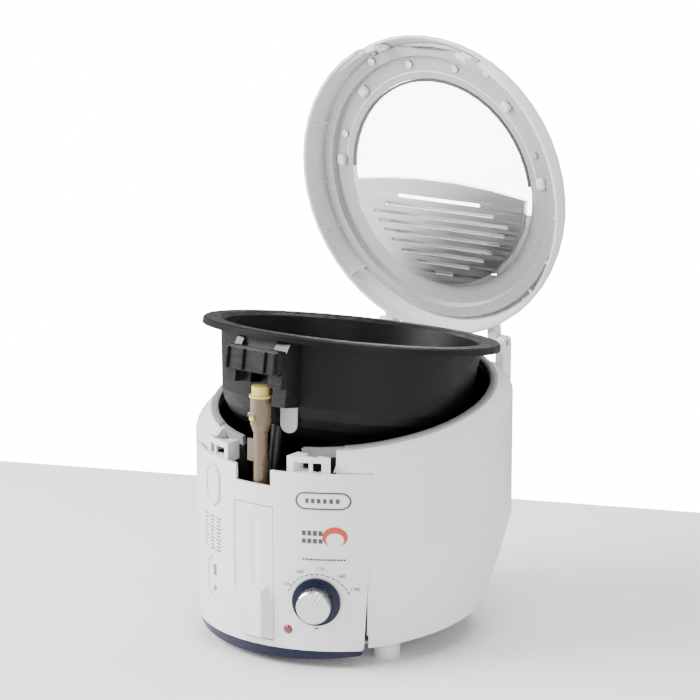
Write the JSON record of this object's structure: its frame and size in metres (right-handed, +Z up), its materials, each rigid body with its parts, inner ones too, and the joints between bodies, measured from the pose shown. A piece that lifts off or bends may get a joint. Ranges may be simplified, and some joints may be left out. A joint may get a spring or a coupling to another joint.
{
  "type": "deep fryer",
  "caption": "Deep fryer with a lift-out inclined bowl, front drain tube and door, temperature dial and a hinged lid with a window.",
  "frame": {"origin": "middle of the underside of the whole object with the lid standing open, on the surface that the feet stand on", "axes": "+Z up, front with the controls faces -Y, +X to the right as seen from the front"},
  "size_m": [0.272, 0.3046, 0.498],
  "materials": {
    "white_plastic": "moulded white plastic with a fine satin texture",
    "grey_plastic": "grey moulded plastic",
    "navy_plastic": "dark blue gloss plastic",
    "seal_grey": "grey rim seal",
    "liner_steel": "dark heat-resistant paint",
    "bowl_coating": "black non-stick coating with a satin sheen",
    "black_plastic": "black heat-resistant plastic",
    "aluminium": "brushed aluminium",
    "steel": "plain steel",
    "element_steel": "heat-darkened steel",
    "ceramic": "cream heat-resistant moulding",
    "tube_brown": "translucent brown heat-resistant tube",
    "cap_yellow": "yellow rubbery plastic",
    "lamp_red": "translucent dark red lens",
    "glass": "clear heat-resistant glass",
    "gasket": "dark rubber seal",
    "filter": "dark fibre filter",
    "knob_metal": "spun aluminium"
  },
  "bodies": {
    "housing": {"outer_shell": "white_plastic", "lower_skirt": "white_plastic", "base_plate": "grey_plastic", "front_panel": "white_plastic", "base_trim": "navy_plastic", "foot_front_right": "white_plastic", "foot_front_left": "white_plastic", "foot_rear_right": "white_plastic", "foot_rear_left": "white_plastic", "latch_keeper_left": "white_plastic", "latch_keeper_right": "white_plastic", "rim_seal_ring": "seal_grey", "inner_liner": "liner_steel", "heater_plate": "aluminium", "heating_element": "element_steel", "safety_cutout": "ceramic", "drive_motor": "steel", "thermostat_body": "ceramic", "hinge_block": "white_plastic", "hinge_pin_left": "steel", "hinge_pin_right": "steel", "power_inlet": "black_plastic", "pilot_lamp": "lamp_red", "timer_seat": "white_plastic", "button_carrier": "white_plastic"},
    "spindle": {"drive_spindle": "steel"},
    "knob": {"knob_skirt": "navy_plastic", "knob_cap": "knob_metal", "knob_pointer": "white_plastic", "knob_shaft": "steel"},
    "button": {"lid_button": "white_plastic", "button_spring": "steel"},
    "door": {"drain_door": "white_plastic"},
    "bowl": {"bowl": "bowl_coating", "bowl_bracket": "black_plastic", "bracket_plate": "grey_plastic", "drain_elbow": "steel", "drain_tube": "tube_brown", "tube_peg": "cap_yellow"},
    "cap": {"drain_cap": "cap_yellow"},
    "lid": {"lid_shell": "white_plastic", "lid_inner_ring": "white_plastic", "window_glass": "glass", "window_gasket": "gasket", "splash_plate": "aluminium", "filter_pad": "filter", "lid_screw_1": "steel", "lid_screw_2": "steel", "lid_screw_3": "steel", "lid_screw_4": "steel", "lid_screw_5": "steel", "lid_screw_6": "steel"},
    "filter_flap": {"filter_cover": "white_plastic"},
    "latch": {"latch_bar": "white_plastic", "latch_hook_left": "white_plastic", "latch_hook_right": "white_plastic"}
  },
  "joints": [
    {"name": "lid_hinge", "type": "hinge", "parent": "housing", "child": "lid", "pos_m": [0, 0.13095, 0.229], "axis": [1, 0, 0], "range_deg": [0, 92.5], "stiffness_Nm_per_rad": 0.55, "springref_deg": -126.05},
    {"name": "bowl_lift", "type": "hinge", "parent": "housing", "child": "bowl", "pos_m": [0, 0.13046, 0.23795], "axis": [1, 0, 0], "range_deg": [0, 20]},
    {"name": "drain_cap_pull", "type": "slide", "parent": "bowl", "child": "cap", "axis": [0, 0.0174, 0.9998], "range_m": [0, 0.009]},
    {"name": "temperature_knob", "type": "hinge", "parent": "housing", "child": "knob", "pos_m": [0.056, -0.13166, 0.058], "axis": [0.4583, -0.8888, 0], "range_deg": [-45, 210]},
    {"name": "lid_button_press", "type": "slide", "parent": "housing", "child": "button", "axis": [0.4092, 0.9125, 0], "range_m": [0, 0.003], "stiffness_N_per_m": 1500},
    {"name": "drain_door_hinge", "type": "hinge", "parent": "housing", "child": "door", "pos_m": [-0.0184, -0.14395, 0.078], "axis": [0, 0, -1], "range_deg": [0, 95]},
    {"name": "filter_cover_hinge", "type": "hinge", "parent": "lid", "child": "filter_flap", "pos_m": [0, 0.14707, 0.28666], "axis": [-1, 0, 0], "range_deg": [0, 70]},
    {"name": "latch_release", "type": "hinge", "parent": "lid", "child": "latch", "pos_m": [0, 0.10791, 0.48918], "axis": [1, 0, 0], "range_deg": [-2.2, 0], "stiffness_Nm_per_rad": 0.2},
    {"name": "spindle_spin", "type": "hinge", "parent": "housing", "child": "spindle", "pos_m": [0, -0.00305, 0.201], "axis": [0, -0.1822, 0.9833], "continuous": true}
  ],
  "couplings": [
    {"joint": "bowl_lift", "follows": "lid_hinge", "ratio": 0.2162}
  ]
}
